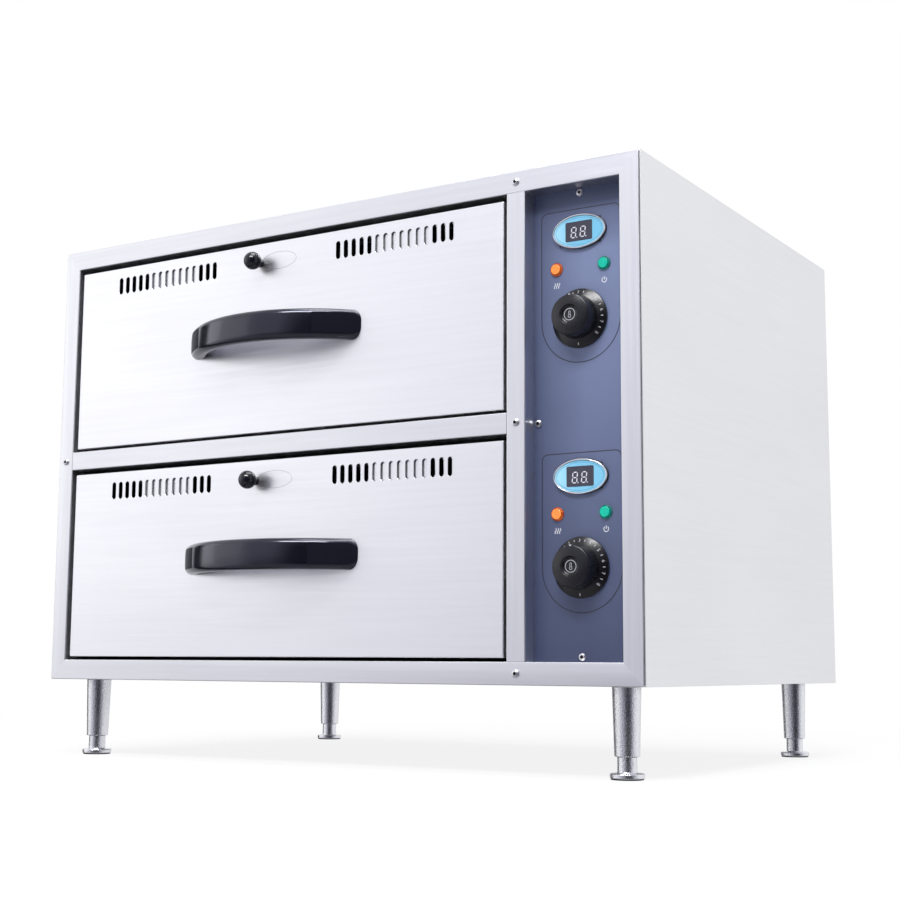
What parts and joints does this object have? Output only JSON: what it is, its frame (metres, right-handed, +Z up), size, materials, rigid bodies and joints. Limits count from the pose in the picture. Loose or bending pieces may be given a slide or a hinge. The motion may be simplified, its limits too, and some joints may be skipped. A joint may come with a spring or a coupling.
{
  "type": "countertop warming drawer",
  "caption": "Free-standing food warming cabinet: insulated casing on adjustable legs, pull-out pan drawers with bow handles and vent shutters, recessed control bay at the right.",
  "frame": {"origin": "centre of the whole object's footprint (handles and cable gland included), on the surface its feet stand on", "axes": "+X to the right seen from the front, +Y towards the back, +Z up; the drawers open towards -Y"},
  "size_m": [0.748, 0.597, 0.585],
  "materials": {
    "casing_steel": "satin stainless steel sheet",
    "frame_steel": "satin stainless steel, folded",
    "drawer_steel": "satin stainless steel sheet",
    "inner_steel": "galvanised or plain steel sheet",
    "pan_steel": "pressed stainless steel",
    "slide_steel": "zinc-plated rolled steel",
    "leg_metal": "satin turned",
    "screw_steel": "zinc-plated button heads",
    "panel_film": "slate blue satin film on steel",
    "black_plastic": "glossy black",
    "knob_plastic": "black, satin",
    "bezel_plastic": "light blue",
    "window_plastic": "smoked, dark",
    "amber_lens": "translucent orange",
    "green_lens": "translucent green",
    "switch_body": "pale moulded case",
    "element_sheath": "heat-tinted sheath",
    "wool": "loose mineral wool",
    "gland_plastic": "black nylon",
    "terminal_plastic": "white moulded"
  },
  "bodies": {
    "cabinet": {"frame_top_rail": "frame_steel", "frame_bottom_rail": "frame_steel", "frame_left_stile": "frame_steel", "frame_right_stile": "frame_steel", "centre_mullion": "frame_steel", "middle_rail": "frame_steel", "casing_screws": "screw_steel", "left_side_panel": "casing_steel", "right_side_panel": "casing_steel", "top_panel": "casing_steel", "back_panel": "casing_steel", "bottom_panel": "inner_steel", "cavity_left_wall": "inner_steel", "cavity_right_wall": "inner_steel", "cavity_floor": "inner_steel", "cavity_roof": "inner_steel", "cavity_rear": "inner_steel", "cavity_divider": "inner_steel", "insulation": "wool", "control_bay_wall": "inner_steel", "control_panel": "panel_film", "display_housings": "bezel_plastic", "display_windows": "window_plastic", "heat_lamps": "amber_lens", "power_lamps": "green_lens", "thermostats": "switch_body", "heating_elements": "element_sheath", "terminal_block": "terminal_plastic", "cable_gland": "gland_plastic", "leg_sleeves": "leg_metal", "leg_nuts": "screw_steel", "outer_slide_members": "slide_steel"},
    "upper_drawer": {"upper_drawer_front": "drawer_steel", "upper_drawer_inner_sheet": "inner_steel", "upper_pan_carrier": "inner_steel", "upper_inner_slide_members": "slide_steel", "upper_pan": "pan_steel", "upper_handle": "black_plastic", "upper_handle_screws": "screw_steel"},
    "upper_slides": {"upper_middle_slide_members": "slide_steel"},
    "upper_shutter": {"upper_vent_shutter": "drawer_steel", "upper_vent_knob": "black_plastic"},
    "upper_thermostat": {"upper_thermostat_knob": "knob_plastic", "upper_thermostat_spindle": "slide_steel"},
    "lower_drawer": {"lower_drawer_front": "drawer_steel", "lower_drawer_inner_sheet": "inner_steel", "lower_pan_carrier": "inner_steel", "lower_inner_slide_members": "slide_steel", "lower_pan": "pan_steel", "lower_handle": "black_plastic", "lower_handle_screws": "screw_steel"},
    "lower_slides": {"lower_middle_slide_members": "slide_steel"},
    "lower_shutter": {"lower_vent_shutter": "drawer_steel", "lower_vent_knob": "black_plastic"},
    "lower_thermostat": {"lower_thermostat_knob": "knob_plastic", "lower_thermostat_spindle": "slide_steel"},
    "front_left_foot_body": {"front_left_foot": "leg_metal"},
    "front_right_foot_body": {"front_right_foot": "leg_metal"},
    "rear_left_foot_body": {"rear_left_foot": "leg_metal"},
    "rear_right_foot_body": {"rear_right_foot": "leg_metal"}
  },
  "joints": [
    {"name": "upper_drawer_slide", "type": "slide", "parent": "cabinet", "child": "upper_drawer", "axis": [0, -1, 0], "range_m": [0, 0.375]},
    {"name": "upper_slide_extension", "type": "slide", "parent": "cabinet", "child": "upper_slides", "axis": [0, -1, 0], "range_m": [0, 0.1875]},
    {"name": "upper_vent_slide", "type": "slide", "parent": "upper_drawer", "child": "upper_shutter", "axis": [1, 0, 0], "range_m": [0, 0.00504]},
    {"name": "upper_thermostat_turn", "type": "hinge", "parent": "cabinet", "child": "upper_thermostat", "pos_m": [0.30125, -0.229, 0.4335], "axis": [0, 1, 0], "range_deg": [0, 290]},
    {"name": "lower_drawer_slide", "type": "slide", "parent": "cabinet", "child": "lower_drawer", "axis": [0, -1, 0], "range_m": [0, 0.375]},
    {"name": "lower_slide_extension", "type": "slide", "parent": "cabinet", "child": "lower_slides", "axis": [0, -1, 0], "range_m": [0, 0.1875]},
    {"name": "lower_vent_slide", "type": "slide", "parent": "lower_drawer", "child": "lower_shutter", "axis": [1, 0, 0], "range_m": [0, 0.00504]},
    {"name": "lower_thermostat_turn", "type": "hinge", "parent": "cabinet", "child": "lower_thermostat", "pos_m": [0.30125, -0.229, 0.195], "axis": [0, 1, 0], "range_deg": [0, 290]},
    {"name": "front_left_foot_screw", "type": "slide", "parent": "cabinet", "child": "front_left_foot_body", "axis": [0, 0, -1], "range_m": [0, 0.025]},
    {"name": "front_right_foot_screw", "type": "slide", "parent": "cabinet", "child": "front_right_foot_body", "axis": [0, 0, -1], "range_m": [0, 0.025]},
    {"name": "rear_left_foot_screw", "type": "slide", "parent": "cabinet", "child": "rear_left_foot_body", "axis": [0, 0, -1], "range_m": [0, 0.025]},
    {"name": "rear_right_foot_screw", "type": "slide", "parent": "cabinet", "child": "rear_right_foot_body", "axis": [0, 0, -1], "range_m": [0, 0.025]}
  ],
  "couplings": [
    {"joint": "upper_slide_extension", "follows": "upper_drawer_slide", "ratio": 0.5},
    {"joint": "lower_slide_extension", "follows": "lower_drawer_slide", "ratio": 0.5}
  ]
}
